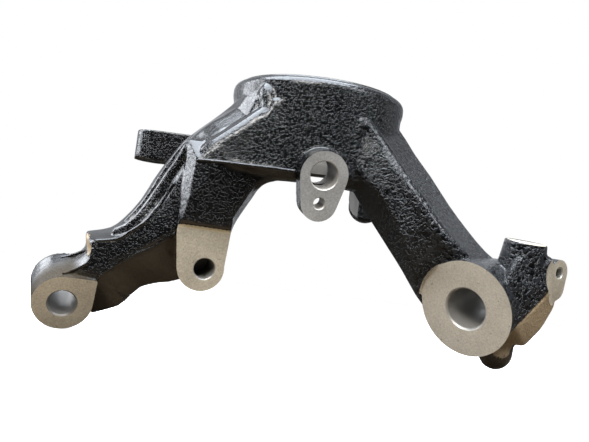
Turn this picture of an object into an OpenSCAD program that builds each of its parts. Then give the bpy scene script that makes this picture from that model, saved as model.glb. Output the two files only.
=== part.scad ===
// Steering knuckle: one iron casting with machined bores and faces.
// The origin is where the wheel bearing's axis meets the machined outboard face.
// Z points outboard along that axis, X runs from the eye to the large boss.

/* [Bearing housing] */
// Outside diameter of the housing's wall
hub_d = 115; // [108:1:116]
// Outside diameter of the rounded outboard rim
rim_d = 117; // [114:1:124]
// Height of the outboard rim
rim_h = 10; // [8:1:13]
// Height of the housing's wall away from the camera side
hub_h = 51; // [46:1:56]
// Height of the wall's parting edge between the arms
crease_h = 61.5; // [58:0.5:65]
// Drop of the rounded underside below the parting edge
underside_drop = 5.5; // [4:0.5:8]
// Diameter of the bearing seat
bearing_d = 84; // [78:1:88]
// Depth of the bearing seat
bearing_depth = 44; // [36:1:45]
// Diameter of the hole through the inner lip
lip_d = 76; // [70:1:77]
// Width of the snap ring's groove
ring_groove_w = 2.2; // [1.6:0.2:3]
// Depth of the snap ring's groove
ring_groove_depth = 1.8; // [1.2:0.2:2.4]
// Distance of the snap ring's groove from the outboard face
ring_groove_z = 4; // [3:0.5:6]
// Outside diameter of the machined outboard face
face_d = 105; // [100:1:108]
// Height of the machined face above the cast rim
face_h = 1.2; // [0.6:0.2:2]

/* [Sensor ear] */
// Distance of the sensor bore's mouth to the right of the bearing axis
sensor_x = 9.5; // [6:0.5:13]
// Distance of the sensor bore's mouth below the outboard face
sensor_drop = 63.5; // [61:0.5:66]
// Distance of the ear's machined face from the bearing axis
sensor_reach = 66; // [64:0.5:69]
// Turn of the sensor bore away from the straight-across direction
sensor_turn = 14; // [8:1:18]
// Tilt of the sensor bore towards the outboard side
sensor_tilt = 14.5; // [10:0.5:20]
// Diameter of the sensor bore
sensor_bore_d = 17.4; // [15:0.2:19]
// Width of the ear round the sensor bore
sensor_ear_d = 30.4; // [27:0.2:33]
// Width of the ear's foot round the screw hole
sensor_foot_d = 23; // [19:1:26]
// Depth of the ear's root inside the housing's outer surface
sensor_inset = 6.5; // [5:0.5:9]
// Distance of the sensor's screw from the sensor bore
sensor_screw_gap = 17.6; // [16:0.2:20]
// Diameter of the sensor's screw hole
sensor_screw_d = 7; // [5:0.5:8]

/* [Steering eye] */
// Distance of the eye to the left of the bearing axis
eye_x = 143.5; // [137:0.5:150]
// Distance of the eye's face from the bearing axis on the camera side
eye_y = 45; // [42:1:48]
// Distance of the eye below the outboard face
eye_drop = 162.5; // [157:0.5:168]
// Turn of the eye's face about the bearing axis
eye_turn = 19; // [15:1:23]
// Tilt of the eye's face away from the outboard side
eye_tilt = 28; // [24:1:32]
// Outside diameter of the eye
eye_d = 38; // [35:0.5:41]
// Length of the eye along its bore
eye_len = 30; // [27:1:33]
// Diameter of the eye's bore
eye_bore_d = 17.4; // [15:0.2:19]

/* [Steering arm] */
// Width of the steering arm from its keel to its rib at mid length
steering_arm_w = 62; // [57:1:67]

/* [Lower ear] */
// Distance of the ear's bore to the left of the bearing axis
ear_x = 58; // [55:0.5:61]
// Distance of the ear's machined face from the bearing axis at its bore
ear_y = 42; // [40:0.5:44]
// Distance of the ear's bore below the outboard face
ear_drop = 129.5; // [125:0.5:133]
// Turn of the ear's face about the bearing axis
ear_turn = 19; // [15:1:23]
// Tilt of the ear's face away from the outboard side
ear_tilt = 12; // [9:1:15]
// Radius of the ear's round end
ear_r = 15; // [13.5:0.5:16]
// Diameter of the ear's bore
ear_bore_d = 13.4; // [12:0.2:15]
// Depth of the ear's bore
ear_bore_depth = 24; // [18:1:26]
// Step from the cast pillar down to the machined face
ear_step = 3; // [2:0.5:4]

/* [Pillar] */
// Distance of the pillar's front from the lower ear's face, towards the camera side
pillar_front = 17; // [14:1:18]
// Depth of the pillar from front to back
pillar_t = 45; // [40:1:48]
// Width of the pillar to the right of the ear's bore where it meets the housing
pillar_w = 38; // [34:1:41]

/* [Control arm] */
// Width of the control arm from its keel to its crest
control_arm_w = 51; // [47:1:55]

/* [Large boss] */
// Distance of the boss to the right of the bearing axis
boss_x = 108; // [103:1:113]
// Distance of the boss's face from the bearing axis at its bore
boss_y = 48; // [45:1:51]
// Distance of the boss below the outboard face
boss_drop = 133; // [128:1:138]
// Turn of the boss's face about the bearing axis
boss_turn = 39; // [35:1:42]
// Tilt of the boss's face away from the outboard side
boss_tilt = 21; // [18:1:25]
// Outside diameter of the boss
boss_d = 63; // [59:1:67]
// Diameter of the boss at its back end
boss_back_d = 42; // [38:1:48]
// Length of the boss along its bore
boss_len = 44; // [41:1:46]
// Diameter of the boss's bore
boss_bore_d = 26.6; // [24:0.2:31]
// Diameter of the spot-facing cutter
boss_spot_d = 72; // [68:1:76]

/* [End block] */
// Distance of the block's stop pad to the right of the large boss
pad_run = 35; // [31:1:38]
// Height of the stop pad above the large boss's bore
pad_rise = 47.5; // [44:0.5:50]
// Diameter of the stop pad
pad_d = 27; // [24:1:30]
// Lean of the stop pad towards the camera side
pad_lean = 8; // [4:1:14]
// Distance of the block's front from the bearing axis
block_front = 46; // [43:1:48]
// Thickness of the end block
block_t = 34; // [30:1:38]
// Distance of the bracket lug's face to the right of the large boss
lug_run = 59; // [56:1:62]
// Height of the lug's tapped hole above the large boss's bore
lug_rise = 30.5; // [27:0.5:33]
// Turn of the lug's face about the bearing axis
lug_turn = 40; // [34:1:46]
// Width of the lug
lug_w = 17; // [14:1:20]
// Diameter of the lug's tapped hole
lug_hole_d = 6.8; // [5:0.2:8]
// Depth of the lug's tapped hole
lug_hole_depth = 15; // [10:1:18]
// Diameter of the cast heel under the end block
heel_d = 22; // [19:1:25]

/* [Bracket arm] */
// Distance of the bracket arm's hole to the left of the bearing axis
bracket_x = 114; // [108:1:120]
// Distance of the bracket arm's hole behind the bearing axis
bracket_y = 38; // [34:1:42]
// Distance of the bracket arm's top below the outboard face
bracket_drop = 36; // [34:1:38]
// Thickness of the bracket arm
bracket_t = 21; // [18:0.5:23]
// Diameter of the bracket arm's round end
bracket_d = 27; // [24:1:30]
// Diameter of the bracket arm's hole
bracket_hole_d = 12.5; // [10:0.5:14]

/* [Finish] */
// Width of the chamfers on the machined bores
bore_chamfer = 1; // [0.6:0.1:1.4]
// Width of the chamfers on the small holes
hole_chamfer = 0.6; // [0.4:0.1:0.8]

/* [Hidden] */
$fn = 96;
// Steps in one rounded edge of an arm
ease_steps = 3;
// Rings between two stations of an arm
rings = 2;
// Rounding of the arms' and the end block's edges
cast_r = 2.6;
// Length by which a cut runs past the surface it opens
past = 1;
// Reach of a milling cutter around and in front of a machined face
reach = 60;
// Growth of the eye's diameter towards its back
eye_draft = 2;
// Lean of the lug's tapped hole below level
lug_tilt = 4;
// Clearance of a facing cutter around what it faces
cutter_gap = 6;
// Length of the round posts that carry the stop pad and the lug
post = 22;
// Rounding of the housing's outboard rim
shoulder = 5;
// Drop of the far flange's round root below the housing, and its radius
web_drop = 20;
web_r = 12;
// Rise of the heel above its lowest ball
heel_h = 26;

hub_r = hub_d / 2;
rim_r = rim_d / 2;
face_r = face_d / 2;
lip_r = lip_d / 2;
bearing_r = bearing_d / 2;
wall_h = crease_h + underside_drop;
sensor_ear_t = sensor_reach - hub_r + sensor_inset;
eye = [-eye_x, -eye_y, -eye_drop];
ear = [-ear_x, -ear_y, -ear_drop];
boss = [boss_x, -boss_y, -boss_drop];
sensor = [sensor_x, -sensor_reach, -sensor_drop];
pad = [boss_x + pad_run, -block_front + pad_d / 4, pad_rise - boss_drop];
lug = [boss_x + lug_run, -block_front + 9, lug_rise - boss_drop];
// Where the arms' lines start inside the housing
steering_root = [-30, -35, -31];
control_root = [24, -35, -31];

// Turns a face that looks up so that it looks at the camera side.
// turn swings it to the right and tilt swings it down.
module facing(place, turn, tilt) {
    translate(place) rotate([0, 90 + tilt, turn - 90]) children();
}

// A corner between two edges of a section, eased by a short curve
function eased(a, b, c, r) =
    let (u = (a - b) / norm(a - b), v = (c - b) / norm(c - b))
    let (s = min(r, norm(a - b) * 0.45), e = min(r, norm(c - b) * 0.45))
    [for (i = [0 : ease_steps]) let (t = i / ease_steps)
        b + pow(1 - t, 2) * s * u + t * t * e * v];

// All corners of a closed section, each eased by the same radius
function eased_section(corners, r) = let (n = len(corners))
    [for (i = [0 : n - 1]) each
        eased(corners[(i + n - 1) % n], corners[i], corners[(i + 1) % n], r)];

// The smooth curve through b and c, at share t between them
function spline(a, b, c, d, t) =
    b + 0.5 * t * (c - a + t * (2 * a - 5 * b + 4 * c - d + t * (3 * (b - c) + d - a)));

// The stations with further sections between them
function between(s) = let (n = len(s) - 1)
    [for (i = [0 : n - 1]) for (k = [0 : rings - 1])
        spline(s[max(i - 1, 0)], s[i], s[i + 1], s[min(i + 2, n)], k / rings), s[n]];

function reversed(list) = [for (i = [len(list) - 1 : -1 : 0]) list[i]];

// A solid through sections that all have the same number of corners
module loft(sections) {
    n = len(sections[0]);
    m = len(sections);
    function middle(s) = [for (p = s) 1] * s / n;
    points = [for (s = sections) each s, middle(sections[0]), middle(sections[m - 1])];
    sides = [for (j = [0 : m - 2]) for (i = [0 : n - 1]) let (k = (i + 1) % n) each
        [[j * n + i, j * n + k, (j + 1) * n + i], [j * n + k, (j + 1) * n + k, (j + 1) * n + i]]];
    caps = [for (i = [0 : n - 1]) let (k = (i + 1) % n) each
        [[m * n, k, i], [m * n + 1, (m - 1) * n + i, (m - 1) * n + k]]];
    polyhedron(points, concat(sides, caps));
}

// An arm follows the line from root to tip. A station is a share of that line and its
// corners, each as [height above the line, distance behind it], seen from the camera side.
function arm_corners(root, tip, up, station) =
    let (run = tip - root, flat = norm([run[0], run[2]]), side = [-run[2], 0, run[0]] * up / flat)
    [for (i = [1 : len(station) - 1])
        root + station[0] * run + station[i][0] * side + [0, station[i][1], 0]];

// The corners grow with the share w.
module arm(root, tip, up, w, stations, r) {
    grown = [for (s = stations) [s[0], each [for (i = [1 : len(s) - 1]) w * s[i]]]];
    loft([for (s = between([for (g = grown) arm_corners(root, tip, up, g)]))
        eased_section(up > 0 ? s : reversed(s), r)]);
}

module housing() {
    rotate_extrude() {
        polygon(concat(
            [[lip_r, -hub_h], [hub_r, -hub_h], [hub_r, -rim_h - 4], [rim_r, -rim_h]],
            [for (a = [0 : 15 : 90])
                [rim_r - shoulder + shoulder * cos(a), -face_h - shoulder + shoulder * sin(a)]],
            [[face_r, -face_h], [face_r, 0], [lip_r, 0]]));
    }
}

// The wall is taller between the arms, with a sloping underside
module near_wall() {
    rotate([0, 0, -160]) rotate_extrude(angle = 140)
        polygon([[lip_r - past, -bearing_depth - past], [hub_r - past, -bearing_depth - past],
            [hub_r - past, -rim_h], [rim_r, -rim_h], [hub_r + 1, -crease_h],
            [hub_r - underside_drop, -wall_h], [lip_r - past, -wall_h]]);
}

// Corners: ridge, rib, lip, far top, far bottom, keel, parting edge
module steering_arm() {
    arm(steering_root, eye, -1, steering_arm_w / 62, [
        [-0.12, [10, -10], [12, 0], [12, 12], [10, 38], [-30, 34], [-34, -4], [-32, -12]],
        [-0.05, [17, -12], [25, -1], [28, 12], [22, 38], [-30, 34], [-44, -4], [-52, -14]],
        [0.05, [10, -14], [21, -1], [28, 13], [24, 39], [-24, 35], [-38, -7], [-37.5, -20]],
        [0.15, [14, -14], [25, -1], [29, 14], [24, 38], [-20, 32], [-29, -4], [-18, -23]],
        [0.24, [16, -13], [26, 0], [31, 16], [26, 37], [-20, 31], [-27, -1], [0, -22]],
        [0.31, [14, -12], [25, 1], [31, 18], [26, 36], [-22, 31], [-30, 2], [5, -19]],
        [0.38, [9, -11], [21, 2], [29, 19], [24, 35], [-26, 31], [-34, 5], [-8, -12]],
        [0.46, [4, -10], [17, 3], [26, 20], [21, 34], [-28, 31], [-35, 8], [-13, -10]],
        [0.55, [3, -10], [13, 3], [21, 19], [16, 34], [-28, 32], [-36, 11], [-12, -10]],
        [0.64, [4, -9], [12, 3], [19, 18], [14, 33], [-24, 32], [-37, 13], [-8, -9]],
        [0.7, [7, -8], [14, 4], [20, 18], [15, 34], [-20, 32], [-30, 13], [-6, -8]],
        [0.75, [14, -7], [20, 5], [25, 16], [20, 32], [-16, 32], [-25, 14], [-4, -7]],
        [0.775, [16, -6], [23, 5], [28, 17], [22, 33], [-15, 33], [-24, 14], [-4, -6]],
        [0.79, [13, -6], [21, 5], [26, 16], [21, 33], [-15, 33], [-24, 14], [-4, -6]],
        [0.815, [9, -6], [16, 4], [21, 15], [17, 31], [-14, 32], [-24, 14], [-4, -5]],
        [0.87, [8, -6], [15, 4], [21, 15], [17, 30], [-13, 31], [-24, 14], [-4, -1]],
        [0.96, [11, -3], [17, 5], [21, 15], [16, 27], [-9, 29], [-16, 15], [-6, 6]]
    ], cast_r);
}

// The long pocket between the steering arm's rib and its lip
module steering_arm_pocket() {
    arm(steering_root, eye, -1, steering_arm_w / 62, [
        [0.23, [36, 3], [36, 9], [29, 8], [29, 5]],
        [0.29, [38, 1], [38, 12], [22, 9], [22, 4]],
        [0.4, [36, 2], [36, 14], [17, 11], [17, 5]],
        [0.5, [32, 2], [32, 14], [12, 11], [12, 5]],
        [0.59, [28, 3], [28, 13], [10, 11], [10, 6]],
        [0.67, [26, 5], [26, 10], [16, 9], [16, 7]]
    ], cast_r / 2);
}

// The pillar carries the lower ear and closes the arch beside the driveshaft
module pillar() {
    front = ear_y + pillar_front;
    back = front - pillar_t;
    top = shoulder + 7 - crease_h;
    left = -ear_r - 5;
    knee = -wall_h - 2 * ear_r;
    foot = [-ear_r / 6, 0.5 - ear_drop];
    arch = [[pillar_w, -wall_h], [pillar_w - 11, -wall_h - ear_step], [ear_r - 2, knee],
        [ear_r - 4, knee - 10]];
    difference() {
        translate([-ear_x, 0, 0]) {
            translate([0, -back, 0]) rotate([90, 0, 0]) linear_extrude(front - back)
                polygon(concat([[pillar_w, top], arch[0]], eased(arch[0], arch[1], arch[2], 10),
                    eased(arch[1], arch[2], arch[3], 8), [arch[3], [left, knee - 10], [left, top]]));
            // The ear itself narrows towards the back
            translate([0, -ear_y, 0]) rotate([0, 0, 5]) translate([0, ear_y - back, 0])
                rotate([90, 0, 0]) linear_extrude(front - back)
                    polygon(concat(
                        [for (a = [10 : -15 : -170]) foot + ear_r * [cos(a), sin(a)]],
                        [[left, 20 - ear_drop], [left, knee], [ear_r - 1, knee]]));
        }
        // Above the parting edge the front leans back
        translate([-ear_x, -front, -crease_h]) rotate([-40, 0, 0])
            translate([-reach, -reach, 0]) cube([2 * reach, reach, reach]);
        // Left flank towards the arm
        translate([-ear_x - 12, -front, -crease_h]) rotate([0, 2, 42])
            translate([-reach, -reach, -2 * reach]) cube([reach, 2 * reach, 3 * reach]);
        // The cast front lies a step in front of the ear's machined face
        facing(ear, ear_turn, ear_tilt)
            translate([-2 * reach, -reach, ear_step]) cube([4 * reach, 2 * reach, reach]);
    }
}

// The milled face of the lower ear, with the cutter's radius at its upper end
module ear_milling() {
    upper = 28.5;
    facing(ear, ear_turn, ear_tilt) {
        translate([-upper + ear_step, -reach, 0]) cube([2 * reach, 2 * reach, reach]);
        translate([-upper, -reach, ear_step]) cube([2 * reach, 2 * reach, reach]);
        translate([-upper + ear_step, reach, ear_step]) rotate([90, 0, 0])
            cylinder(r = ear_step, h = 2 * reach);
    }
}

module sensor_ear() {
    facing(sensor, sensor_turn, sensor_tilt) translate([0, 0, -sensor_ear_t]) hull() {
        cylinder(d = sensor_ear_d, h = sensor_ear_t, $fn = 32);
        translate([sensor_screw_gap, 0, 0]) cylinder(d = sensor_foot_d, h = sensor_ear_t, $fn = 32);
    }
}

// Corners: ridge, crest, far top, far bottom, keel, near edge
module control_arm() {
    arm(control_root, boss, 1, control_arm_w / 51, [
        [-0.15, [4, -6], [10, 16], [10, 34], [-14, 36], [-16, 10], [-12, -6]],
        [-0.08, [10, -13], [26, 20], [26, 38], [-14, 40], [-18, 10], [-16, -12]],
        [0.06, [10, -14], [32, 21], [30, 40], [-14, 42], [-18, 12], [-14, -16]],
        [0.24, [10, -15], [32, 23], [30, 40], [-14, 43], [-18, 16], [-11, -15]],
        [0.38, [11, -14], [33, 25], [31, 41], [-14, 43], [-18, 20], [-7, -12]],
        [0.55, [13, -12], [33, 27], [31, 42], [-14, 43], [-18, 22], [-11, -8]],
        [0.7, [16, -9], [34, 27], [31, 43], [-15, 44], [-18, 24], [-15, 3]],
        [0.84, [20, -4], [36, 26], [32, 44], [-16, 44], [-19, 26], [-16, 15]],
        [0.98, [26, 4], [41, 24], [36, 42], [-14, 42], [-18, 28], [-14, 20]]
    ], cast_r);
}

// The rounded root of the far flange, behind the driveshaft's space
module rear_web() {
    place = [hub_r - web_r - 3, -hub_h - web_drop];
    top = web_drop + rim_h + 1;
    translate([0, lip_r - web_r - 2, 0]) rotate([90, 0, 0]) linear_extrude(web_r + 4) union() {
        translate(place) circle(web_r);
        polygon([place - [web_r, -2], place + [web_r, 0], place + [web_r + 8, top],
            place - [web_r + 4, -top]]);
    }
}

module large_boss() {
    facing(boss, -boss_turn, boss_tilt)
        translate([0, 0, -boss_len]) cylinder(d1 = boss_back_d, d2 = boss_d, h = boss_len);
}

// Outline of the end block, deeper by the share s behind its front.
// Its corners lie about the stop pad and the lug, and spread with their widths.
// Each is [across, up, forward], and those beside the large boss lie forward.
function block_outline(s) = let (u = pad_d / 27, v = lug_w / 17)
    let (p = [pad[0], pad[2], 0], l = [lug[0], lug[2], 0])
    [p + u * [-14, -23, 16], p + u * [-9, -12, 8], p + u * [12, -7, 0], l + v * [-7, 8, 0],
        l + v * [-1, -12, 0], l + v * [9 * s - 9, -17 - 4 * s, 0], p + u * [2 + 15 * s, -49 - 5 * s, 5],
        p + u * [12 * s - 5, -56 - 11 * s, 10], p + u * [3 * s - 16, -50 - 12 * s, 16]];

module end_block() {
    back = block_t - block_front;
    loft([for (s = [[-block_front, 0], [-block_front + block_t / 3, 1], [back, 1]])
        eased_section(reversed([for (p = block_outline(s[1]))
            [p[0], s[0] - (1 - s[1]) * p[2], p[1]]]), cast_r + 1)]);
    translate(pad) rotate([pad_lean, 3, 0]) translate([0, 0, -post])
        cylinder(d1 = pad_d + 5, d2 = pad_d, h = post);
    facing(lug, lug_turn, lug_tilt) translate([0, 0, -post]) hull() {
        cylinder(d = lug_w, h = post, $fn = 32);
        translate([post / 2 - 1, 0, 0]) cylinder(d = lug_w - 2, h = post, $fn = 32);
    }
}

module heel() {
    place = [boss_x + 27, -boss_y / 2, -boss_drop - 25.5];
    translate(place) sphere(d = heel_d);
    translate(place) cylinder(d1 = heel_d, d2 = heel_d + 3, h = heel_h);
}

module bracket_arm() {
    r = bracket_d / 2;
    near = bracket_y - r;
    translate([0, 0, -bracket_drop - bracket_t]) linear_extrude(bracket_t) union() {
        translate([-bracket_x, bracket_y]) circle(r);
        polygon([[-bracket_x, near], [10 - hub_r, near], [18 - hub_r, bracket_y - 2],
            [-bracket_x + 28, bracket_y + 12], [-bracket_x, bracket_y + r]]);
    }
}

module casting() {
    housing();
    near_wall();
    steering_arm();
    pillar();
    sensor_ear();
    control_arm();
    rear_web();
    large_boss();
    end_block();
    heel();
    bracket_arm();
    steering_eye();
}

// The eye is round, but square where the arm runs into its face
module steering_eye() {
    r = eye_d / 2;
    facing(eye, eye_turn, eye_tilt) translate([0, 0, -eye_len]) {
        cylinder(d1 = eye_d + eye_draft, d2 = eye_d, h = eye_len);
        translate([-r, 0, 0]) cube([r, r, eye_len]);
    }
}

// A bore from its mouth inwards, with a chamfer at the mouth
module bore(d, depth, chamfer) {
    translate([0, 0, -depth]) cylinder(d = d, h = depth + past);
    translate([0, 0, -chamfer]) cylinder(d1 = d, d2 = d + 2 * (chamfer + past), h = chamfer + past);
}

// The space that a face-milling cutter clears in front of a face
module spot_face(d) {
    cylinder(d = d, h = reach);
}

// The bearing slides in from outboard, rests on the lip and is kept by a snap ring
module bearing_seat() {
    translate([0, 0, -bearing_depth]) cylinder(r = bearing_r, h = bearing_depth + past);
    translate([0, 0, -ring_groove_z - ring_groove_w])
        cylinder(r = bearing_r + ring_groove_depth, h = ring_groove_w);
    translate([0, 0, -wall_h - reach]) cylinder(r = lip_r, h = wall_h + reach);
}

module sensor_bores() {
    facing(sensor, sensor_turn, sensor_tilt) {
        spot_face(sensor_ear_d + cutter_gap);
        bore(sensor_bore_d, hub_r - lip_r + sensor_ear_t, hole_chamfer);
        translate([sensor_screw_gap, 0, 0]) {
            spot_face(sensor_foot_d + cutter_gap);
            bore(sensor_screw_d, hub_r - lip_r + sensor_ear_t, hole_chamfer);
        }
    }
}

// The boss is faced at both ends
module boss_bores() {
    facing(boss, -boss_turn, boss_tilt) {
        spot_face(boss_spot_d);
        bore(boss_bore_d, boss_len + past, bore_chamfer);
        translate([0, 0, -boss_len - reach / 2]) cylinder(d = boss_back_d - 4, h = reach / 2);
    }
}

module knuckle() color("dimgray") difference() {
    casting();
    bearing_seat();
    sensor_bores();
    boss_bores();
    ear_milling();
    steering_arm_pocket();
    facing(ear, ear_turn, ear_tilt) bore(ear_bore_d, ear_bore_depth, hole_chamfer);
    facing(eye, eye_turn, eye_tilt) {
        spot_face(eye_d + 2 * cutter_gap);
        bore(eye_bore_d, 2 * eye_len, bore_chamfer);
    }
    facing(lug, lug_turn, lug_tilt) bore(lug_hole_d, lug_hole_depth, hole_chamfer);
    translate([-bracket_x, bracket_y, -bracket_drop]) bore(bracket_hole_d, 2 * bracket_t, hole_chamfer);
}

knuckle();
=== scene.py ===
# %% [markdown]
# A steering knuckle is one iron casting. It is poured in sand, painted black, and then
# milled and bored where other parts bolt on. The shape comes packed from the CAD model;
# here it gets its cast skin, its crisp machined faces and its finishes.

# %% Load the model
from contextlib import contextmanager
from math import cos, radians, sin

import bpy
from mathutils import Matrix, Vector


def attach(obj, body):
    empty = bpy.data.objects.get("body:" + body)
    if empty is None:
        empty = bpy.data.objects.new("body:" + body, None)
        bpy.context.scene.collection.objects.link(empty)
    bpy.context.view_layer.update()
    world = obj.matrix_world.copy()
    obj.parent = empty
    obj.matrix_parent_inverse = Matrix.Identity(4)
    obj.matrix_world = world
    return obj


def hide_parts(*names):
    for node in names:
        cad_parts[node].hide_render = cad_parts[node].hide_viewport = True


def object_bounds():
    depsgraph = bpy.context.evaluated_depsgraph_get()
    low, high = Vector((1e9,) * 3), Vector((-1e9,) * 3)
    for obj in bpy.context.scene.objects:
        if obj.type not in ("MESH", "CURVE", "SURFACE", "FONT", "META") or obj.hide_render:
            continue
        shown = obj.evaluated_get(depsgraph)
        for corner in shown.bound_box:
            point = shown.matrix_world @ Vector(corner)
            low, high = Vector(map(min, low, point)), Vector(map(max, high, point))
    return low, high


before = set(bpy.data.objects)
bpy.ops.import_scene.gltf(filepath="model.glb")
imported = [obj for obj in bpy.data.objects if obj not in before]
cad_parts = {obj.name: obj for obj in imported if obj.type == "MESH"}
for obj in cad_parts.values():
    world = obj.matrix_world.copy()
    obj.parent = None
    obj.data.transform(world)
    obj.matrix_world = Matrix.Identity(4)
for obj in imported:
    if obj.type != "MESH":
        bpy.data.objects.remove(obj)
cad_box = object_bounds()
MM = 0.001
print("CAD box in mm:", [[round(c / MM, 1) for c in corner] for corner in cad_box])

# %% [markdown]
# Every step below acts on what is selected. So one helper selects the pieces it is given
# and nothing else, and the helper that adds an object deselects all others first. A
# modifier is applied as soon as it is added, which keeps the finished mesh plain and easy
# to export.

# %% Helpers for objects
def choose(*pieces):
    """Selects these pieces alone. The last one is the active object."""
    bpy.ops.object.select_all(action="DESELECT")
    for piece in pieces:
        piece.select_set(True)
    bpy.context.view_layer.objects.active = pieces[-1]


def add(name, operator, **settings):
    """Adds an object by its operator, with nothing else selected, and names it."""
    bpy.ops.object.select_all(action="DESELECT")
    operator(**settings)
    bpy.context.object.name = name
    return bpy.context.object


def apply_modifier(piece, kind, **settings):
    choose(piece)
    modifier = piece.modifiers.new(kind.title(), kind)
    for setting, value in settings.items():
        setattr(modifier, setting, value)
    bpy.ops.object.modifier_apply(modifier=modifier.name)

# %% [markdown]
# Vertices, edges and faces are changed in edit mode. A with block enters it and leaves it
# again, so no step can forget to. Extruding copies what is selected, moves the copy and
# joins the two with new faces; the copy stays selected for the next step.

# %% Helpers for edit mode
@contextmanager
def edit_mode():
    bpy.ops.object.mode_set(mode="EDIT")
    yield
    bpy.ops.object.mode_set(mode="OBJECT")


def extrude(step):
    """Extrudes what is selected by a step in metres."""
    bpy.ops.mesh.extrude_region_move(TRANSFORM_OT_translate={"value": step})

# %% [markdown]
# Each machined face has a place and looks its own way. A matrix holds both: its local Z
# is the direction the face looks in, and local X runs down the face. The same two turns
# were used for the solid, so the cuts below land on its faces. The stop pad alone leans 3
# degrees more than in the solid, as in the photo, so it gets no spare metal of its own.

# %% Places of the machined faces
def shift(x, y, z=0):
    """A move by x, y and z mm."""
    return Matrix.Translation(Vector((x, y, z)) * MM)


def facing(place, turn, tilt):
    """A face that looks forwards, turned to one side and tilted down, in degrees."""
    return (shift(*place) @ Matrix.Rotation(radians(turn - 90), 4, "Z")
            @ Matrix.Rotation(radians(90 + tilt), 4, "Y"))


EYE_MIDDLE = (-143.5, -45, -162.5)
HUB = Matrix.Identity(4)
EYE = facing(EYE_MIDDLE, 19, 28)
EAR = facing((-58, -42, -129.5), 19, 12)
BOSS = facing((108, -48, -133), -39, 21)
SENSOR = facing((9.5, -66, -63.5), 14, 14.5)
SCREW = SENSOR @ shift(17.6, 0)
LUG = facing((167, -37, -102.5), 40, 4)
PAD = (shift(143, -39.25, -85.5) @ Matrix.Rotation(radians(3), 4, "Y")
       @ Matrix.Rotation(radians(11), 4, "X"))
BRACKET = shift(-114, 38, -36)
FACES = {"hub": HUB, "eye": EYE, "ear": EAR, "boss": BOSS, "sensor": SENSOR, "lug": LUG}
for name, place in FACES.items():
    print(f"{name} face looks towards", [round(c, 2) for c in place.col[2][:3]])

# %% [markdown]
# A casting leaves the sand with rounded corners and with spare metal wherever it will be
# machined. Rounding every edge by hand with bevels would fail where the arms run into
# the housing. A remesh and a smoothing pass round everything at once, as sand does, so
# that way was chosen. First a copy of the CAD solid gets its spare metal back: each
# machined face is extruded outwards.

# %% Raw casting: spare metal on the faces
SPARE = 2.5        # mm of metal that the tools take off again
OFF_PLANE = 0.02   # mm that a face's triangle may lie off the plane
FACE_REACH = 60    # mm from a face's middle to its farthest triangle
PARALLEL = 0.999   # cosine between two directions that count as one

choose(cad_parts["knuckle"])
bpy.ops.object.duplicate()
casting = bpy.context.object
casting.name = casting.data.name = "casting"
with edit_mode():
    bpy.ops.mesh.select_all(action="SELECT")
    bpy.ops.mesh.remove_doubles(threshold=0.001 * MM)
    bpy.ops.mesh.select_all(action="DESELECT")

for name, place in FACES.items():
    outwards = place.to_3x3() @ Vector((0, 0, 1))
    for face in casting.data.polygons:
        off = face.center - place.translation
        face.select = (abs(off.dot(outwards)) < OFF_PLANE * MM
                       and face.normal.dot(outwards) > PARALLEL
                       and off.length < FACE_REACH * MM)
    print(f"{name} face:", sum(face.select for face in casting.data.polygons), "triangles")
    with edit_mode():
        extrude(outwards * SPARE * MM)
        bpy.ops.mesh.select_all(action="DESELECT")

# %% [markdown]
# A turned tool is a disc that is extruded upwards ring by ring, each ring scaled to its
# own radius. The same helper makes the plugs that fill the bores of the raw casting and
# the drills, reamers and facing cutters that open them again. The steps are (radius,
# height) in millimetres, from the bottom up, about the local Z of a face's place.

# %% Turned tools and plugs
def turned(name, steps, place, sides=64):
    tool = add(name, bpy.ops.mesh.primitive_circle_add,
               vertices=sides, radius=steps[0][0] * MM, fill_type="NGON")
    with edit_mode():
        bpy.ops.mesh.select_all(action="SELECT")
        bpy.ops.transform.translate(value=(0, 0, steps[0][1] * MM))
        for (r0, z0), (r1, z1) in zip(steps, steps[1:]):
            extrude((0, 0, (z1 - z0) * MM))
            bpy.ops.transform.resize(value=(r1 / r0, r1 / r0, 1))
        bpy.ops.mesh.select_all(action="SELECT")
        bpy.ops.mesh.normals_make_consistent(inside=False)
        bpy.ops.mesh.select_all(action="DESELECT")
    tool.data.transform(place)
    return tool


PLUG_TOP = 2.4     # mm, just inside the spare metal
plugs = [turned(name, [(radius, bottom), (radius, top)], place)
         for name, radius, bottom, top, place in [
             ("hub plug", 44.5, -43, PLUG_TOP, HUB),
             ("lip plug", 39.5, -50, -40, HUB),
             ("eye plug", 9.5, -30, PLUG_TOP, EYE),
             ("ear plug", 7.5, -26, PLUG_TOP, EAR),
             ("boss plug", 14.5, -43, PLUG_TOP, BOSS),
             ("sensor plug", 9.5, -14, PLUG_TOP, SENSOR),
             ("screw plug", 4.2, -14, PLUG_TOP, SCREW),
             ("lug plug", 4.2, -17, PLUG_TOP, LUG),
             ("bracket plug", 7, -20.5, -0.5, BRACKET)]]
print(len(plugs), "plugs")

# %% [markdown]
# Thick rounded ridges run over the casting: one swings down from the rim to the top of
# the pillar, one follows the steering arm as its rib, one edges the control arm. Each is
# a chain of points that the Skin modifier wraps in a tube, with a radius of its own at
# every point, and subdivision makes the tube round.

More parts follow.
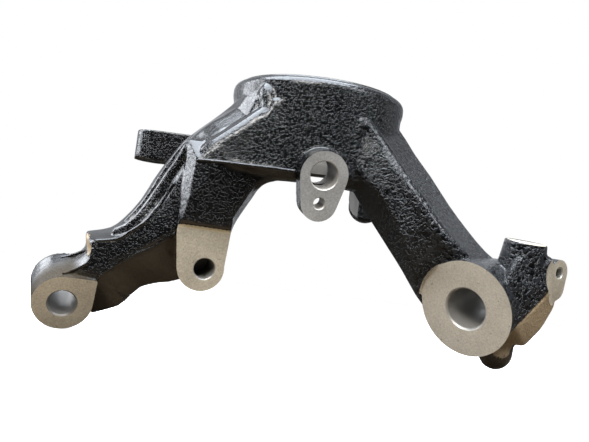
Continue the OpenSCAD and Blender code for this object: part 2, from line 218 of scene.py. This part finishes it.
# %% Rolls
def roll(name, points):
    """A tube through points, each (x, y, z, radius) in mm."""
    places = [Vector(point[:3]) * MM for point in points]
    tube = add(name, bpy.ops.mesh.primitive_plane_add, size=MM)
    with edit_mode():
        bpy.ops.mesh.select_all(action="SELECT")
        bpy.ops.mesh.merge(type="CENTER")
        bpy.ops.transform.translate(value=places[0])
        for last, place in zip(places, places[1:]):
            extrude(place - last)
    skin = tube.modifiers.new("Skin", "SKIN")
    skin.use_smooth_shade = True
    for vertex, point in zip(tube.data.skin_vertices[0].data, points):
        vertex.radius = (point[3] * MM, point[3] * MM)
    tube.data.skin_vertices[0].data[0].use_root = True
    choose(tube)
    bpy.ops.object.modifier_apply(modifier=skin.name)
    apply_modifier(tube, "SUBSURF", levels=2, render_levels=2)
    print(f"{name}: {len(tube.data.polygons)} faces")
    return tube


ROLLS = {
    "rim roll": [
        (-33, -39, -7, 5), (-31.8, -43.5, -12, 7), (-30.5, -46, -17.5, 8),
        (-29, -46.9, -23.5, 8.6), (-31, -47.2, -29.8, 10), (-37.5, -47.5, -37, 10.5),
        (-46, -48, -44.5, 10.5), (-55.1, -49, -51.3, 9.5), (-62.5, -50.2, -56, 8.2),
        (-67.5, -52, -61.5, 6.5), (-69.5, -53.5, -67, 5)],
    "control arm roll": [
        (28, -48, -22, 4.5), (34, -44.5, -28.5, 6), (41, -44.7, -36.9, 6.5),
        (52, -46.5, -49.8, 6.5), (62.8, -48.5, -63.3, 6.5), (73.3, -48.7, -74.8, 6.5),
        (83.8, -48.5, -86.4, 6), (92.7, -47.8, -94.4, 5.5), (100.5, -46.8, -100.6, 5)],
    "control arm root": [
        (28, -49, -21.5, 3.8), (26.3, -50.3, -38.4, 3.4), (26, -50.3, -51.2, 3)],
    "rib roll": [
        (-76, -33, -47, 3), (-78, -46.5, -55, 4), (-82, -43, -64.2, 4.2),
        (-87.8, -40.5, -73.1, 4.2), (-91.2, -40.7, -81, 4.2), (-96.6, -41.6, -92.2, 4.2),
        (-102.3, -43.9, -103, 4.2), (-109, -43.9, -110.2, 4), (-119.6, -39, -115, 3.6)],
}
rolls = [roll(name, points) for name, points in ROLLS.items()]

# %% [markdown]
# A flat cheek fills the front between the first ridge and the housing's lower edge. It
# starts as a filled circle with one vertex for each corner. The vertices are moved to
# their places, and the polygon is extruded into the casting.

# %% Pillar cheek
CHEEK_DEPTH = 12   # mm
CHEEK_CORNERS = [
    (-21, -54.5, -17), (-28, -53.6, -18), (-29, -54.8, -23.5), (-31, -56.3, -29.8),
    (-37.5, -57.1, -37), (-46, -57.6, -44.5), (-55, -57.8, -51.3), (-62.5, -58.2, -56),
    (-68, -58.6, -60), (-69, -59, -62.3), (-54, -59, -62.3), (-38, -58.8, -62),
    (-27, -57.2, -61.6), (-16, -56.2, -60), (-19, -55.4, -36)]
cheek = add("pillar cheek", bpy.ops.mesh.primitive_circle_add,
            vertices=len(CHEEK_CORNERS), radius=MM, fill_type="NGON")
for vertex, corner in zip(cheek.data.vertices, CHEEK_CORNERS):
    vertex.co = Vector(corner) * MM
with edit_mode():
    bpy.ops.mesh.select_all(action="SELECT")
    extrude((0, CHEEK_DEPTH * MM, 0))
    bpy.ops.mesh.select_all(action="SELECT")
    bpy.ops.mesh.quads_convert_to_tris()
    bpy.ops.mesh.normals_make_consistent(inside=False)
print("pillar cheek:", len(cheek.data.polygons), "faces")

# %% [markdown]
# Plugs, rolls and cheek are joined to the solid while they still overlap it. The voxel
# remesh then melts them all into one skin of small squares, and smoothing rounds its
# corners by about 2 mm, as on a sand casting. Decimate merges the faces that matter
# least, which keeps the finished piece under 200,000 triangles.

# %% Cast skin
choose(*plugs, *rolls, cheek, casting)
bpy.ops.object.join()
apply_modifier(casting, "REMESH", mode="VOXEL", voxel_size=0.95 * MM)
apply_modifier(casting, "SMOOTH", factor=0.5, iterations=4)
apply_modifier(casting, "DECIMATE", ratio=0.48)
print("cast skin:", len(casting.data.polygons), "faces")

# %% [markdown]
# Where the two halves of the sand mould met, the iron keeps a thin raised line. It is too
# fine for the voxels, so it comes after them: a thin roll whose points lie on the skin,
# united with it by a Boolean modifier. Each line has one radius.

# %% Mould lines
LINES = {
    "housing line": (1.2, [
        (-70, -59, -63), (-60.7, -59, -62.7), (-52.6, -58.8, -62.4), (-37, -58.7, -62.4),
        (-21.4, -57.3, -62), (-13.5, -56.6, -62), (-8, -57.2, -62)]),
    "arm line": (1.1, [
        (-78.1, -48.6, -108.9), (-84.3, -48.9, -114.1), (-92.9, -48.4, -120.9),
        (-101.6, -49, -125.9), (-110.3, -48.5, -132.1), (-118.8, -48.3, -138.9),
        (-123.6, -46.8, -143.9)]),
    "rib line": (1.3, [
        (-83.3, -47.1, -77.7), (-87.4, -46.2, -85.7), (-90.9, -47.7, -93.5),
        (-94.1, -48.8, -98.9), (-97.3, -49.9, -104.7), (-101.4, -49.7, -108.5),
        (-105.2, -49.4, -111.5), (-112.3, -49.5, -117.5), (-120.1, -48.9, -119.7),
        (-128.1, -48.2, -121)]),
    "neck line": (1.1, [
        (-144.3, -51.5, -144.2), (-141, -48, -142.3), (-134.1, -48.4, -138.2),
        (-130.3, -49, -135.6), (-128.4, -48.7, -131.5), (-128.2, -48.7, -125)]),
    "collar line": (1, [
        (-151, -35, -134.2), (-146, -30.5, -132), (-141.3, -31.3, -130), (-136, -37, -127.8)]),
}
for name, (radius, places) in LINES.items():
    line = roll(name, [(*place, radius) for place in places])
    apply_modifier(casting, "BOOLEAN", operation="UNION", object=line, solver="MANIFOLD")
    bpy.data.objects.remove(line)

# %% [markdown]
# Shader maths reads best as plain expressions. A small class wraps a node's output
# socket, so that a * b or 1 - a adds the Math node for it and links it up.

# %% Shader maths
class Wire:
    """A value on its way through a material's nodes."""

    def __init__(self, shader, socket):
        self.shader, self.socket = shader, socket

    def maths(self, operation, *inputs):
        return self.shader.node("Math", {"operation": operation}, *inputs)

    def __add__(self, other):
        return self.maths("ADD", self, other)

    def __sub__(self, other):
        return self.maths("SUBTRACT", self, other)

    def __rsub__(self, other):
        return self.maths("SUBTRACT", other, self)

    def __mul__(self, other):
        return self.maths("MULTIPLY", self, other)

    __radd__ = __add__
    __rmul__ = __mul__

    def greater(self, other):
        return self.maths("MAXIMUM", self, other)

    def ramp(self, low, high):
        """0 where the value is low, 1 where it is high, eased between."""
        return self.shader.node("MapRange", {"interpolation_type": "SMOOTHSTEP"}, self, low, high)

# %% [markdown]
# A second class owns a material or a world. Its node method adds any node: it sets the
# node's own settings, links each input that is a wire, and writes each input that is a
# number into the socket. The short methods below it are the nodes used most.

# %% Shader nodes
class Shader:
    """A material or a world, and the one way its nodes are made."""

    def __init__(self, name, kind="materials", surface="Principled BSDF"):
        self.owner = getattr(bpy.data, kind).new(name)
        self.owner.use_nodes = True
        self.tree = self.owner.node_tree
        self.surface = self.tree.nodes[surface]

    def node(self, kind, settings=None, *inputs, out=0, **named):
        made = self.tree.nodes.new("ShaderNode" + kind)
        for setting, value in (settings or {}).items():
            setattr(made, setting, value)
        self.join(made, dict(enumerate(inputs)))
        self.join_named(made, named)
        return Wire(self, made.outputs[out])

    def join(self, made, inputs):
        for key, value in inputs.items():
            if isinstance(value, Wire):
                self.tree.links.new(value.socket, made.inputs[key])
            else:
                made.inputs[key].default_value = value

    def join_named(self, made, inputs):
        """Joins inputs by their names, with _ for each space."""
        self.join(made, {name.replace("_", " "): value for name, value in inputs.items()})

    def place(self, kind="Object"):
        return self.node("TexCoord", out=kind)

    def axis(self, place, name):
        return self.node("SeparateXYZ", None, place, out=name)

    def vector(self, operation, *inputs, out="Value", **named):
        return self.node("VectorMath", {"operation": operation}, *inputs, out=out, **named)

    def noise(self, place, scale, detail=2.0, roughness=0.5, distortion=0.0):
        return self.node("TexNoise", None, Vector=place, Scale=scale, Detail=detail,
                         Roughness=roughness, Distortion=distortion)

    def blend(self, share, a, b):
        """Colour a where share is 0, colour b where it is 1."""
        mix = self.tree.nodes.new("ShaderNodeMix")
        mix.data_type = "RGBA"
        self.join(mix, {"Factor": share, 6: a, 7: b})
        return Wire(self, mix.outputs[2])

    def bump(self, height, depth_mm, strength=1.0):
        return self.node("Bump", None, Height=height, Distance=depth_mm * MM, Strength=strength)

    def finish(self, **inputs):
        """Joins the inputs of the surface itself, and returns the material or world."""
        self.join_named(self.surface, inputs)
        return self.owner

# %% [markdown]
# Colours are written as a paint program shows them, from 0 to 255, and turned into the
# linear numbers that light adds up in. A zone on the part is all that lies within some
# distance of a line between two points.

# %% Colours and zones
def colour(r, g, b):
    """An sRGB colour, 0 to 255, as the shader's linear numbers."""
    return (*[((c / 255 + 0.055) / 1.055) ** 2.4 if c > 10 else c / 3294 for c in (r, g, b)], 1)


def grey(value):
    """A grey in linear numbers."""
    return (value, value, value, 1)


def near(shader, place, a, b, radius):
    """Distance in mm of a point from the line from a to b, less the radius."""
    start, along = Vector(a) * MM, (Vector(b) - Vector(a)) * MM
    off = shader.vector("SUBTRACT", place, start, out="Vector")
    share = shader.vector("DOT_PRODUCT", off, along / along.length_squared)
    share = shader.node("Clamp", None, share)
    nearest = shader.vector("SCALE", along, Scale=share, out="Vector")
    return shader.vector("DISTANCE", off, nearest) * (1 / MM) - radius

# %% [markdown]
# The paint is a thin black coat on rough iron. The sand leaves a skin of small crumbs and
# creases, coarser on the right arm and the end block, and the paint shines on top of
# them; on the coarse creases the black is lifted to grey, a painted sheen. Upward slopes
# are calmer. Faces turned downwards and the bottom of the part are painted brown, with
# flatter relief: a painted reflection of the warm floor. Round the steering eye the coat
# is dull. At two places the paint was ground away: beside the step on the steering arm
# and along the lower edge of the end block, where the same tan runs on over the block's
# underside as a painted reflection of the floor. Each of these is a mask from 0 to 1,
# made from the place or from the way the surface looks.

# %% Black paint on the cast skin
EYE_ZONE = (EYE_MIDDLE, (-137, -22, -155), 24)
STEP_ZONE = ((-138.5, -34, -118), (-131, -46, -127), 3)
BLOCK_ZONE = ((160, -46, -118), (138, -50, -148), 20)
BLOCK_EDGE, BLOCK_EDGE_FROM = (0.789, -0.208, -0.578), 201.7   # a direction, and mm along it


def black_paint():
    paint = Shader("black paint")
    place = paint.place()
    x, z = (paint.axis(place, name) for name in "XZ")
    up = paint.axis(paint.place("Normal"), "Z")

    # Zones of the coat.
    coarse = x.ramp(-10 * MM, 90 * MM)
    keel = up.ramp(-0.28, -0.5) * x.ramp(-60 * MM, -72 * MM)
    arch = up.ramp(-0.3, -0.95) * x.ramp(30 * MM, 15 * MM)
    # Faces turned down, and the bottom of the part: where the warm floor's reflection is painted.
    painted_bounce_zone = keel.greater(arch).greater(z.ramp(-152 * MM, -160 * MM))
    dull = 1 - near(paint, place, *EYE_ZONE).ramp(-4, 3)
    calm = up.ramp(0.18, 0.48) * (1 - 0.35 * coarse) * (1 - dull)

    # Relief of the sand, as a height for the bump.
    fine = paint.noise(place, 640, distortion=0.7).ramp(0.48, 0.57)
    broad = paint.noise(place, 400, distortion=0.7).ramp(0.42, 0.56)
    wrinkles = fine * (1 - coarse) + broad * coarse
    crumbs = paint.noise(place, 1100, roughness=0.6)
    lumps = paint.noise(place, 210)
    creases = wrinkles * (0.2 + 0.8 * coarse) + crumbs * 0.05
    skin = creases * (1 - 0.88 * calm) * (1 - 0.7 * painted_bounce_zone) + lumps * (0.35 - 0.22 * calm)

    # Colour of the coat.
    patchy = paint.noise(place, 45, 3, 0.6)
    black = paint.blend(patchy, colour(4, 4, 5), colour(7, 7, 8))
    # Painted sheen: the coarse creases are lifted from black to grey.
    black = paint.blend(coarse * wrinkles, black, colour(32, 33, 35))
    # Painted reflection of the warm floor: brown for the faces turned down.
    painted_bounce_brown = paint.blend(crumbs, colour(50, 42, 32), colour(70, 60, 45))
    coat = paint.blend(dull * 0.8, paint.blend(painted_bounce_zone, black, painted_bounce_brown), colour(66, 59, 49))

    # Iron where the paint is gone, with ragged edges. On the end block's underside the same tan is
    # a painted reflection of the floor.
    ragged = (crumbs + lumps - 1.0) * 4
    bare_step = 1 - (near(paint, place, *STEP_ZONE) + ragged).ramp(-0.6, 0.9)
    block_bare_and_bounce = 1 - (near(paint, place, *BLOCK_ZONE) + ragged).ramp(-0.6, 0.9)
    over_edge = paint.vector("DOT_PRODUCT", place, BLOCK_EDGE) * (1 / MM) - BLOCK_EDGE_FROM
    # From the block's lower edge the tan runs on over its underside, where it is a painted
    # reflection of the floor.
    edge_bare_and_bounce = block_bare_and_bounce * (over_edge + ragged * 0.3).ramp(-0.4, 0.6)
    bare_and_bounce = bare_step.greater(edge_bare_and_bounce)
    iron_and_bounce_tan = paint.blend(crumbs, colour(128, 108, 82), colour(188, 165, 132))

    shine = 0.17 + 0.06 * patchy - 0.03 * calm
    return paint.finish(
        Base_Color=paint.blend(bare_and_bounce, coat, iron_and_bounce_tan), Metallic=0.9 * dull,
        Roughness=shine + 0.28 * bare_and_bounce + 0.14 * painted_bounce_zone + 0.45 * dull,
        Normal=paint.bump(skin * (1 - 0.75 * bare_and_bounce), 0.8), Specular_IOR_Level=0.5)

# %% [markdown]
# A milled face shows the arcs that the cutter left. They follow the face and not the
# block, so the pattern reads a UV map: on each flat face the map holds millimetres from
# the bore, and the arcs are rings about a point beside it. In a bore the map holds the
# height alone, and the same noise gives rings around the wall. The wall has painted
# shade: it is darker deep inside, and darker in the steering eye than elsewhere.

# %% Bare machined metal
ARCS_MIDDLE = (60, 25, 0)   # mm from the bore
BLACK = (0, 0, 0, 1)


def rings(metal, distance, per_mm, detail):
    """Noise that changes with the distance alone."""
    line = metal.node("CombineXYZ", None, distance * per_mm, 0, 0)
    return metal.noise(line, 1, detail, 0.7)


def milled(name, light, dark, roughness):
    metal = Shader(name)
    body = metal.place()
    arcs = rings(metal, metal.vector("DISTANCE", metal.place("UV"), ARCS_MIDDLE), 5.5, 4)
    grain = metal.noise(body, 900, 2, 0.6)
    stain = metal.noise(body, 38, 4, 0.6)
    pits = metal.noise(body, 520, 1, 0.5).ramp(0.7, 0.78)
    tone = metal.blend((arcs * 0.6 + grain * 0.4 + stain * 0.3).ramp(0.4, 0.88), dark, light)
    return metal.finish(
        Base_Color=metal.blend(pits * 0.5, tone, colour(84, 70, 55)),
        Metallic=0.6 - 0.3 * pits, Roughness=roughness + 0.16 * stain + 0.12 * arcs,
        Normal=metal.bump(arcs * 0.6 + grain * 0.5, 0.05, 0.5))


def bored():
    metal = Shader("bored wall")
    body = metal.place()
    height = metal.axis(metal.place("UV"), "Y")
    feed = rings(metal, height, 7, 3)
    stain = metal.noise(body, 60, 3, 0.6)
    tone = metal.blend(feed * 0.5 + stain * 0.5, colour(120, 115, 108), colour(226, 222, 215))
    # Painted shade: darker deeper in a bore, and darker towards the steering eye.
    painted_depth_shade = 0.35 + 0.65 * height.ramp(-26, -3)
    painted_eye_shade = 0.45 + 0.55 * metal.axis(body, "X").ramp(-120 * MM, -20 * MM)
    return metal.finish(
        Base_Color=metal.blend(painted_depth_shade * painted_eye_shade, BLACK, tone),
        Metallic=0.6, Roughness=0.36 + 0.14 * stain + 0.1 * feed,
        Normal=metal.bump(feed, 0.03, 0.6))

# %% [markdown]
# Every piece and every tool gets all finishes in the same order. So a slot's number means
# the same finish on both sides of a cut.

# %% Finishes
FINISHES = [
    black_paint(),
    milled("warm milled face", colour(228, 217, 196), colour(158, 147, 129), 0.42),
    milled("grey milled face", colour(206, 204, 200), colour(142, 140, 137), 0.4),
    bored(),
    milled("pale milled face", colour(252, 245, 232), colour(198, 190, 177), 0.42),
    # The corner's brighter finish is a painted highlight along the cutter's radius.
    milled("milled corner with painted highlight", colour(240, 226, 196), colour(206, 190, 156), 0.4),
]
PAINT, WARM, GREY, BORED, PALE, CORNER = range(len(FINISHES))


def add_finishes(piece):
    piece.data.materials.clear()
    for finish in FINISHES:
        piece.data.materials.append(finish)


add_finishes(casting)
print("finishes:", [finish.name for finish in FINISHES])

# %% [markdown]
# Machining cuts away the spare metal. A Boolean modifier takes each tool from the
# casting; the Manifold solver is quick, and the new faces keep the tool's finish, which
# is how the bare metal comes to lie exactly where the tool went. The UV map is written
# on the tool, whose faces still know their own place.

# %% Machining
def uv_map(piece):
    """The piece's UV map, which is made where it has none."""
    layers = piece.data.uv_layers
    return layers[0] if layers else layers.new(name="UVMap")


def lay_map(tool, place, wall):
    """Writes millimetres across the face, or along the bore, into the tool's UV map."""
    back = place.inverted()
    layer = uv_map(tool)
    for loop in tool.data.loops:
        local = back @ tool.data.vertices[loop.vertex_index].co / MM
        layer.data[loop.index].uv = (0, local.z) if wall else (local.x, local.y)


def cut(tool, place, slot):
    """Takes the tool from the casting. Faces left selected on a warm tool are its corner."""
    add_finishes(tool)
    for face in tool.data.polygons:
        face.material_index = CORNER if face.select and slot == WARM else slot
    lay_map(tool, place, slot == BORED)
    apply_modifier(casting, "BOOLEAN", operation="DIFFERENCE", object=tool, solver="MANIFOLD")
    print(f"{tool.name}: {len(casting.data.polygons)} faces")
    bpy.data.objects.remove(tool)


uv_map(casting)
for name, radius, bottom, top, place, slot in [
    ("eye facing cutter", 25, 0, 6, EYE, WARM),
    ("eye corner cutter", 12, 0, 6, EYE @ shift(-12, 12), WARM),
    ("boss facing cutter", 32.5, 0, 6, BOSS, PALE),
    ("boss back cutter", 19, -60, -44, BOSS, PALE),
    ("sensor facing cutter", 34, 0, 5, SENSOR @ shift(8, 0), GREY),
    ("lug facing cutter", 18, 0, 9, LUG @ shift(4, 2), WARM),
    ("pad facing cutter", 19, 0, 5, PAD, WARM),
    ("hub facing cutter", 62, 0, 5, HUB, GREY),
]:
    cut(turned(name, [(radius, bottom), (radius, top)], place), place, slot)

# %% [markdown]
# The lower ear was milled with the side of a cutter, which leaves its own radius in the
# corner. A box with one bevelled edge is that cutter's path. The bevel leaves its new
# faces selected, and the cut gives those a brighter finish: a painted highlight along the
# corner's radius.

# %% Lower ear's milled face
PATH_SIDE, PATH_HEIGHT, CORNER_RADIUS = 100, 30, 4   # mm
path = add("ear milling path", bpy.ops.mesh.primitive_cube_add, size=1)
path.data.transform(shift(21.5, 0, PATH_HEIGHT / 2)
                    @ Matrix.Diagonal((PATH_SIDE * MM, PATH_SIDE * MM, PATH_HEIGHT * MM, 1)))
with edit_mode():
    bpy.ops.mesh.select_mode(type="VERT")
    bpy.ops.mesh.select_all(action="DESELECT")
for corner in path.data.vertices:
    corner.select = corner.co.x < 0 and corner.co.z < 1 * MM
with edit_mode():
    bpy.ops.mesh.bevel(offset=CORNER_RADIUS * MM, segments=8, affect="EDGES")
path.data.transform(EAR)
cut(path, EAR, WARM)

# %% [markdown]
# The bores come last, as in the shop, each with a small chamfer at its mouth. The bearing
# seat is one tool: the lip that the bearing rests on, the seat, the snap ring's groove,
# the rest of the seat and its chamfer.

# %% Bores
RUN_OUT = 4   # mm that the chamfer's cone goes on above the face


def bore(radius, depth, chamfer):
    """The steps of a drill with a chamfer at the face."""
    mouth = radius + chamfer
    return [(radius, -depth), (radius, -chamfer), (mouth, 0), (mouth + RUN_OUT, RUN_OUT)]


SEAT = [(38, -160), (38, -44),
        (42, -43.99), (42, -6.2),
        (43.8, -6.19), (43.8, -4),
        (42, -3.99), (42, -0.6),
        (42.6, 0), (47, 4.4)]
for name, steps, place, sides in [
    ("bearing seat", SEAT, HUB, 160),
    ("eye bore", bore(8.7, 60, 1), EYE, 72),
    ("ear bore", bore(6.7, 24, 0.6), EAR, 64),
    ("boss bore", bore(13.3, 50, 1), BOSS, 96),
    ("sensor bore", bore(8.7, 35, 0.6), SENSOR, 72),
    ("sensor screw hole", bore(3.5, 30, 0.6), SCREW, 48),
    ("lug hole", bore(3.4, 15, 0.6), LUG, 48),
    ("bracket hole", bore(6.25, 30, 0.6), BRACKET, 48),
]:
    cut(turned(name, steps, place, sides), place, BORED)

# %% [markdown]
# Faces that meet at less than 32 degrees are shaded as one smooth surface, and sharper
# edges stay crisp. The finished casting rides on the only body, the root, and stands in
# for the solid that it was copied from.

# %% Finished casting
choose(casting)
bpy.ops.object.shade_smooth_by_angle(angle=radians(32))
triangles = sum(len(face.vertices) - 2 for face in casting.data.polygons)
print("finished casting:", triangles, "triangles")
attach(casting, "root")
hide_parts("knuckle")

# %% [markdown]
# The floor is pale and plain. The camera sees it glow as white paper; the part gets only
# a faint warm bounce from it, which is strongest just in front of the part.

# %% Floor
FLOOR_SIZE, FLOOR_GAP = 6, 0.2   # m across, and mm below the part
floor = add("floor", bpy.ops.mesh.primitive_plane_add,
            size=FLOOR_SIZE, location=(0, 0, cad_box[0].z - FLOOR_GAP * MM))
pale = Shader("pale floor")
seen = pale.node("LightPath", out="Is Camera Ray")
away = pale.vector("LENGTH", pale.place()).ramp(0.3, 1.2)
glow = pale.blend(away, grey(0.78), grey(1.1))
ahead = pale.axis(pale.place(), "Y")
under = ahead.ramp(-300 * MM, -120 * MM) * ahead.ramp(250 * MM, -50 * MM)
bounce = pale.blend(under, (0.01, 0.01, 0.009, 1), (0.1, 0.083, 0.062, 1))
floor.data.materials.append(pale.finish(
    Base_Color=pale.blend(seen, bounce, (0.86, 0.86, 0.85, 1)),
    Roughness=0.9, Specular_IOR_Level=0.0,
    Emission_Color=pale.blend(seen, BLACK, glow), Emission_Strength=1.0))
print("floor at", round(floor.location.z / MM, 1), "mm")

# %% [markdown]
# The camera sees the world as white paper too. Glossy paint mirrors the world, so what it
# mirrors is split: a light backdrop behind the part, which gives the slopes their mid
# grey, and a dim room elsewhere, which keeps the front faces black.

# %% World
studio = Shader("studio", "worlds", "Background")
x, y, z = (studio.axis(studio.place("Generated"), name) for name in "XYZ")
backdrop = y.ramp(0.05, 0.4) * z.ramp(-0.15, 0.05) * (0.45 + 0.55 * x.ramp(0.5, 0.1))
mirrored = studio.node("LightPath", out="Is Glossy Ray") * backdrop
light = studio.blend(mirrored, (0.03, 0.031, 0.033, 1), (0.75, 0.78, 0.83, 1))
seen = studio.node("LightPath", out="Is Camera Ray")
bpy.context.scene.world = studio.finish(Color=studio.blend(seen, light, grey(1)), Strength=1.0)

# %% [markdown]
# A black, shiny casting is drawn by its reflections. A large soft lamp above makes the
# long highlight along the rim and the ridges, a lamp on the left catches the rib and the
# pillar's flank, one on the right the control arm's edge. The small key lamp in front
# lights the milled faces and sparkles on the paint's crumbs without greying it.

# %% Lamps
def lamp(name, place, target, size, watts, tint):
    """A rectangular lamp of size (m) that looks from its place to its target."""
    light = add(name, bpy.ops.object.light_add, type="AREA", location=place)
    beam = Vector(target) - Vector(place)
    light.rotation_euler = beam.to_track_quat("-Z", "Y").to_euler()
    light.data.shape, light.data.size, light.data.size_y = "RECTANGLE", *size
    light.data.energy, light.data.color = watts, tint
    print(f"{name}: {watts} W from {beam.length:.2f} m")


SKY, COOL, WHITE = (0.84, 0.91, 1.0), (0.9, 0.94, 1.0), (1.0, 0.99, 0.97)
lamp("top lamp", (-0.22, -0.13, 0.85), (-0.22, -0.13, -0.08), (1.15, 0.94), 43, SKY)
lamp("left lamp", (-0.9, 0.2, 0.3), (-0.1, -0.04, -0.09), (0.5, 0.62), 10, COOL)
lamp("key lamp", (-0.25, -0.9, 0.62), (0, 0, -0.1), (0.6, 0.3), 13, WHITE)
lamp("right lamp", (0.75, -0.6, 0.65), (0.07, -0.05, -0.07), (0.6, 0.5), 11, COOL)

# %% [markdown]
# The camera stands where the photographer stood, as far as the ellipses of the round
# bores tell. The columns of its matrix are its right, its up and its backward direction.
# The origin of the frame, in the hub's face, lies DEPTH ahead of the camera, and right of
# and above the middle of the picture by ORIGIN_PX.

# %% Camera
FOCAL_PX, WIDTH_PX, FILM_MM = 900, 589, 36
ROLL, PITCH, DEPTH = radians(7.5), radians(3.7), 0.620
ORIGIN_PX = Vector((25, 127))
right = Vector((cos(ROLL), 0, sin(ROLL)))
level_up = Vector((-sin(ROLL), 0, cos(ROLL)))
forward = Vector((0, cos(PITCH), 0)) + sin(PITCH) * level_up
upward = cos(PITCH) * level_up - Vector((0, sin(PITCH), 0))
offset = ORIGIN_PX * DEPTH / FOCAL_PX
camera = add("Camera", bpy.ops.object.camera_add)
camera.matrix_world = Matrix((right, upward, -forward)).transposed().to_4x4()
camera.location = -(right * offset.x + upward * offset.y + forward * DEPTH)
camera.data.sensor_width = FILM_MM
camera.data.lens = FILM_MM * FOCAL_PX / WIDTH_PX
bpy.context.scene.camera = camera
print("lens:", round(camera.data.lens, 2), "mm, camera at", [round(c, 3) for c in camera.location])

# %% [markdown]
# The Standard view shows colours as they were mixed.

# %% Finish
bpy.context.scene.view_settings.view_transform = "Standard"
